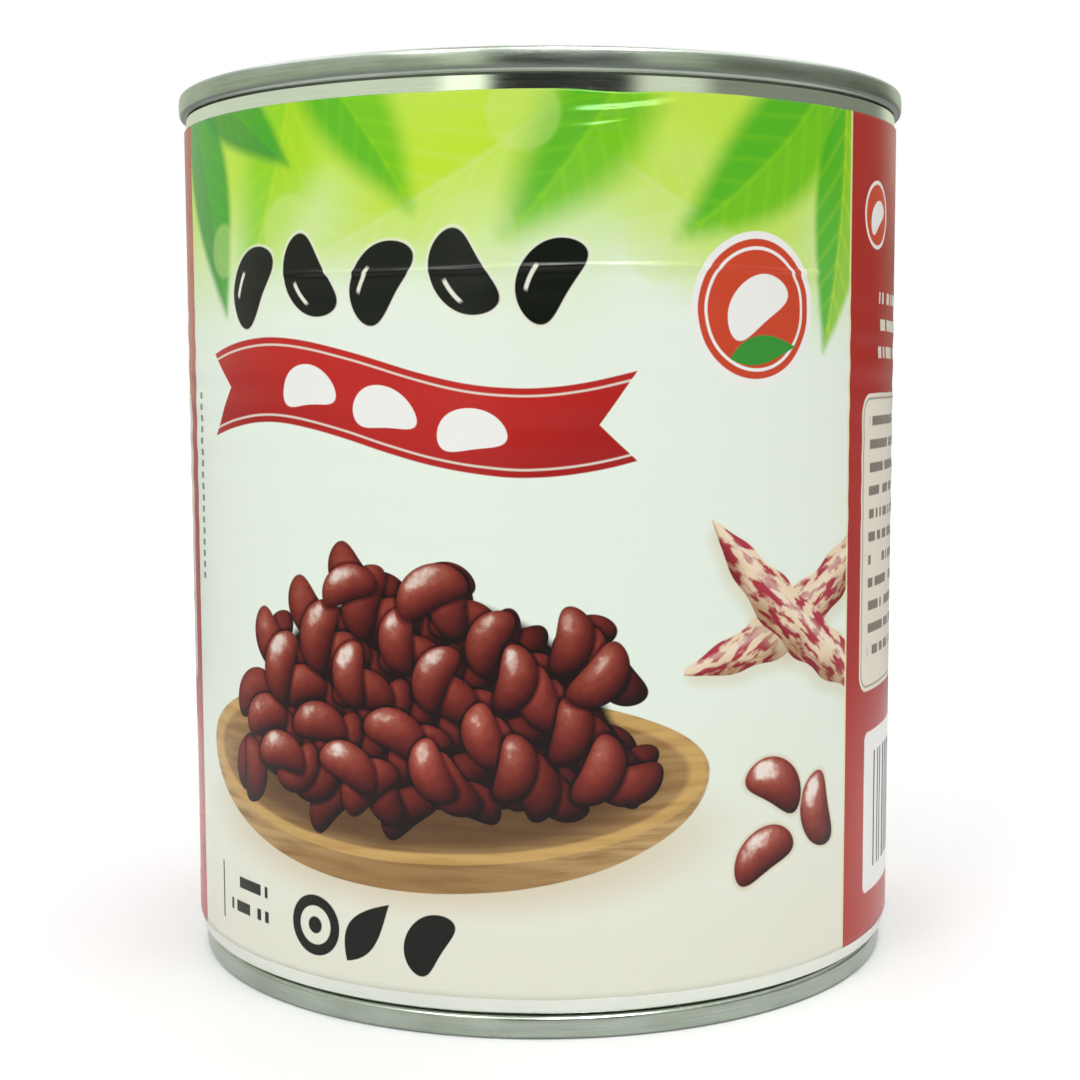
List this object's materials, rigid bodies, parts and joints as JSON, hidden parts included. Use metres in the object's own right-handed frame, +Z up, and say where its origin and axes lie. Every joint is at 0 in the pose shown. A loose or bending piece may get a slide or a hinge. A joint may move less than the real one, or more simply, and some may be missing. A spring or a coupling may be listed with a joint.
{
  "type": "canned beans",
  "caption": "Shut round food can of kidney beans, standing upright: steel body with a folded seam at each end and a glossy wrapped paper label.",
  "frame": {"origin": "middle of the circle that the lower seam stands on", "axes": "+Z up along the can's axis, -Y towards the front of the label, +X to the right of the label as seen from the front"},
  "size_m": [0.101, 0.101, 0.1185],
  "materials": {
    "body_tinplate": "bright bare tinplate, smooth and mirror-like, on the bands above and below the label",
    "end_tinplate": "bare tinplate ends and seams, a little duller and greyer than the body",
    "label_paper": "coated gloss paper printed with a pale front panel, leaves, beans and deep red side panels"
  },
  "bodies": {
    "root": {"can_body": "body_tinplate", "top_end": "end_tinplate", "base_end": "end_tinplate", "paper_label": "label_paper"}
  },
  "joints": []
}
